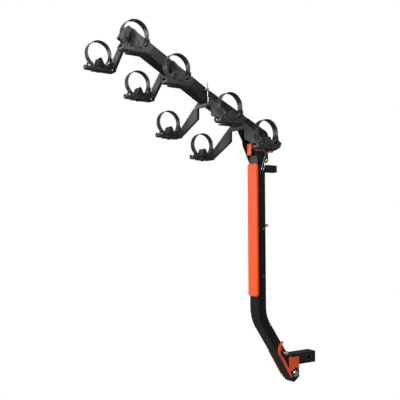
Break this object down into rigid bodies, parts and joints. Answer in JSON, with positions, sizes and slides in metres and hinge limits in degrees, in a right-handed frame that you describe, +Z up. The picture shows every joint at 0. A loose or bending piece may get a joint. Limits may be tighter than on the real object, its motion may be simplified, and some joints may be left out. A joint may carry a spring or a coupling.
{
  "type": "hitch mounted bike rack",
  "caption": "Hanging bike carrier on a hitch receiver shank: tilting bent mast, folding sloped arm and paired wings that hold ribbed strap cradles.",
  "frame": {"origin": "centre of the hitch-pin hole in the square shank", "axes": "+Y along the shank towards the car, +Z up, +X across the car"},
  "size_m": [0.5078, 1.0872, 1.5009],
  "materials": {
    "frame_paint": "satin black powder coat",
    "orange_paint": "satin orange powder coat",
    "orange_plastic": "satin moulded",
    "zinc_steel": "bright zinc plated",
    "black_plastic": "moulded",
    "cradle_plastic": "moulded, slightly warm dark grey",
    "strap_rubber": "ribbed",
    "buckle_plastic": "moulded grey",
    "cap_plastic": "moulded grey"
  },
  "bodies": {
    "receiver_frame": {"receiver_shank": "frame_paint", "shank_plug": "black_plastic", "tilt_yoke": "orange_paint", "yoke_wear_pads": "black_plastic", "pivot_bolt": "zinc_steel", "pivot_nut": "zinc_steel", "pivot_keeper_plates": "frame_paint", "lock_bushes": "black_plastic"},
    "mast": {"mast_tube": "frame_paint", "mast_cover": "orange_plastic", "mast_rivets": "zinc_steel", "mast_end_plugs": "black_plastic", "stub_bar": "frame_paint", "stub_plug": "black_plastic", "cable_tab": "orange_paint", "mast_bushes": "black_plastic", "lever_bracket": "frame_paint"},
    "arm": {"hub_plates": "frame_paint", "arm_bolt": "frame_paint", "arm_nut": "frame_paint", "arm_lock_bush": "black_plastic", "inner_beam": "frame_paint", "socket_screws": "black_plastic", "wing_3": "frame_paint", "wing_4": "frame_paint", "cradles_3": "cradle_plastic", "cradles_4": "cradle_plastic", "inner_cradle_bolts": "black_plastic", "inner_cradle_pins": "zinc_steel"},
    "outer_arm": {"outer_beam": "frame_paint", "beam_end_cap": "cap_plastic", "wing_1": "frame_paint", "wing_2": "frame_paint", "cradles_1": "cradle_plastic", "cradles_2": "cradle_plastic", "outer_cradle_bolts": "black_plastic", "outer_cradle_pins": "zinc_steel"},
    "tilt_lock_pin": {"tilt_lock_pin": "zinc_steel"},
    "arm_lock_pin": {"arm_lock_pin": "zinc_steel", "arm_lock_knob": "orange_plastic"},
    "hub_hairpin": {"hub_hairpin": "zinc_steel"},
    "snapper_pin": {"snapper_pin": "zinc_steel"},
    "snapper_bail": {"snapper_bail": "zinc_steel"},
    "release_lever": {"release_lever": "orange_paint"},
    "strap_1_left": {"strap_1_left": "strap_rubber"},
    "buckle_1_left": {"buckle_1_left": "buckle_plastic"},
    "strap_1_right": {"strap_1_right": "strap_rubber"},
    "buckle_1_right": {"buckle_1_right": "buckle_plastic"},
    "strap_2_left": {"strap_2_left": "strap_rubber"},
    "buckle_2_left": {"buckle_2_left": "buckle_plastic"},
    "strap_2_right": {"strap_2_right": "strap_rubber"},
    "buckle_2_right": {"buckle_2_right": "buckle_plastic"},
    "strap_3_left": {"strap_3_left": "strap_rubber"},
    "buckle_3_left": {"buckle_3_left": "buckle_plastic"},
    "strap_3_right": {"strap_3_right": "strap_rubber"},
    "buckle_3_right": {"buckle_3_right": "buckle_plastic"},
    "strap_4_left": {"strap_4_left": "strap_rubber"},
    "buckle_4_left": {"buckle_4_left": "buckle_plastic"},
    "strap_4_right": {"strap_4_right": "strap_rubber"},
    "buckle_4_right": {"buckle_4_right": "buckle_plastic"}
  },
  "joints": [
    {"name": "mast_tilt", "type": "hinge", "parent": "receiver_frame", "child": "mast", "pos_m": [0, -0.1, -0.06], "axis": [1, 0, 0], "range_deg": [0, 45]},
    {"name": "arm_fold", "type": "hinge", "parent": "mast", "child": "arm", "pos_m": [0, -0.273, 1.013], "axis": [1, 0, 0], "range_deg": [0, 70]},
    {"name": "tip_pull_off", "type": "slide", "parent": "arm", "child": "outer_arm", "axis": [0, -0.8746, 0.4848], "range_m": [0, 0.1]},
    {"name": "tilt_lock_pull", "type": "slide", "parent": "receiver_frame", "child": "tilt_lock_pin", "axis": [1, 0, 0], "range_m": [-0.014, 0]},
    {"name": "arm_lock_pull", "type": "slide", "parent": "arm", "child": "arm_lock_pin", "axis": [1, 0, 0], "range_m": [-0.014, 0]},
    {"name": "hairpin_swing", "type": "hinge", "parent": "arm_lock_pin", "child": "hub_hairpin", "pos_m": [0, -0.268, 0.943], "axis": [1, 0, 0], "range_deg": [-25, 25]},
    {"name": "snapper_pull", "type": "slide", "parent": "arm", "child": "snapper_pin", "axis": [1, 0, 0], "range_m": [-0.012, 0]},
    {"name": "bail_swing", "type": "hinge", "parent": "snapper_pin", "child": "snapper_bail", "pos_m": [0, -0.58777, 1.1851], "axis": [1, 0, 0], "range_deg": [-60, 0]},
    {"name": "release_lever_pull", "type": "hinge", "parent": "mast", "child": "release_lever", "pos_m": [0, -0.31075, 0.972], "axis": [1, 0, 0], "range_deg": [-25, 0], "stiffness_Nm_per_rad": 0.4, "springref_deg": 5.73},
    {"name": "strap_1_left_open", "type": "hinge", "parent": "outer_arm", "child": "strap_1_left", "pos_m": [-0.1594, -1.0147, 1.2655], "axis": [1, 0, 0], "range_deg": [0, 50]},
    {"name": "buckle_1_left_open", "type": "hinge", "parent": "outer_arm", "child": "buckle_1_left", "pos_m": [-0.1594, -0.9277, 1.2785], "axis": [1, 0, 0], "range_deg": [-70, 0]},
    {"name": "strap_1_right_open", "type": "hinge", "parent": "outer_arm", "child": "strap_1_right", "pos_m": [0.1594, -1.0147, 1.2655], "axis": [1, 0, 0], "range_deg": [0, 50]},
    {"name": "buckle_1_right_open", "type": "hinge", "parent": "outer_arm", "child": "buckle_1_right", "pos_m": [0.1594, -0.9277, 1.2785], "axis": [1, 0, 0], "range_deg": [-70, 0]},
    {"name": "strap_2_left_open", "type": "hinge", "parent": "outer_arm", "child": "strap_2_left", "pos_m": [-0.1594, -0.8312, 1.1655], "axis": [1, 0, 0], "range_deg": [0, 38]},
    {"name": "buckle_2_left_open", "type": "hinge", "parent": "outer_arm", "child": "buckle_2_left", "pos_m": [-0.1594, -0.7442, 1.1785], "axis": [1, 0, 0], "range_deg": [-70, 0]},
    {"name": "strap_2_right_open", "type": "hinge", "parent": "outer_arm", "child": "strap_2_right", "pos_m": [0.1594, -0.8312, 1.1655], "axis": [1, 0, 0], "range_deg": [0, 38]},
    {"name": "buckle_2_right_open", "type": "hinge", "parent": "outer_arm", "child": "buckle_2_right", "pos_m": [0.1594, -0.7442, 1.1785], "axis": [1, 0, 0], "range_deg": [-70, 0]},
    {"name": "strap_3_left_open", "type": "hinge", "parent": "arm", "child": "strap_3_left", "pos_m": [-0.2329, -0.6338, 1.0245], "axis": [1, 0, 0], "range_deg": [0, 50]},
    {"name": "buckle_3_left_open", "type": "hinge", "parent": "arm", "child": "buckle_3_left", "pos_m": [-0.2329, -0.5468, 1.0375], "axis": [1, 0, 0], "range_deg": [-70, 0]},
    {"name": "strap_3_right_open", "type": "hinge", "parent": "arm", "child": "strap_3_right", "pos_m": [0.2329, -0.6338, 1.0245], "axis": [1, 0, 0], "range_deg": [0, 50]},
    {"name": "buckle_3_right_open", "type": "hinge", "parent": "arm", "child": "buckle_3_right", "pos_m": [0.2329, -0.5468, 1.0375], "axis": [1, 0, 0], "range_deg": [-70, 0]},
    {"name": "strap_4_left_open", "type": "hinge", "parent": "arm", "child": "strap_4_left", "pos_m": [-0.2329, -0.4505, 0.9353], "axis": [1, 0, 0], "range_deg": [0, 50]},
    {"name": "buckle_4_left_open", "type": "hinge", "parent": "arm", "child": "buckle_4_left", "pos_m": [-0.2329, -0.3635, 0.9483], "axis": [1, 0, 0], "range_deg": [-70, 0]},
    {"name": "strap_4_right_open", "type": "hinge", "parent": "arm", "child": "strap_4_right", "pos_m": [0.2329, -0.4505, 0.9353], "axis": [1, 0, 0], "range_deg": [0, 50]},
    {"name": "buckle_4_right_open", "type": "hinge", "parent": "arm", "child": "buckle_4_right", "pos_m": [0.2329, -0.3635, 0.9483], "axis": [1, 0, 0], "range_deg": [-70, 0]}
  ]
}
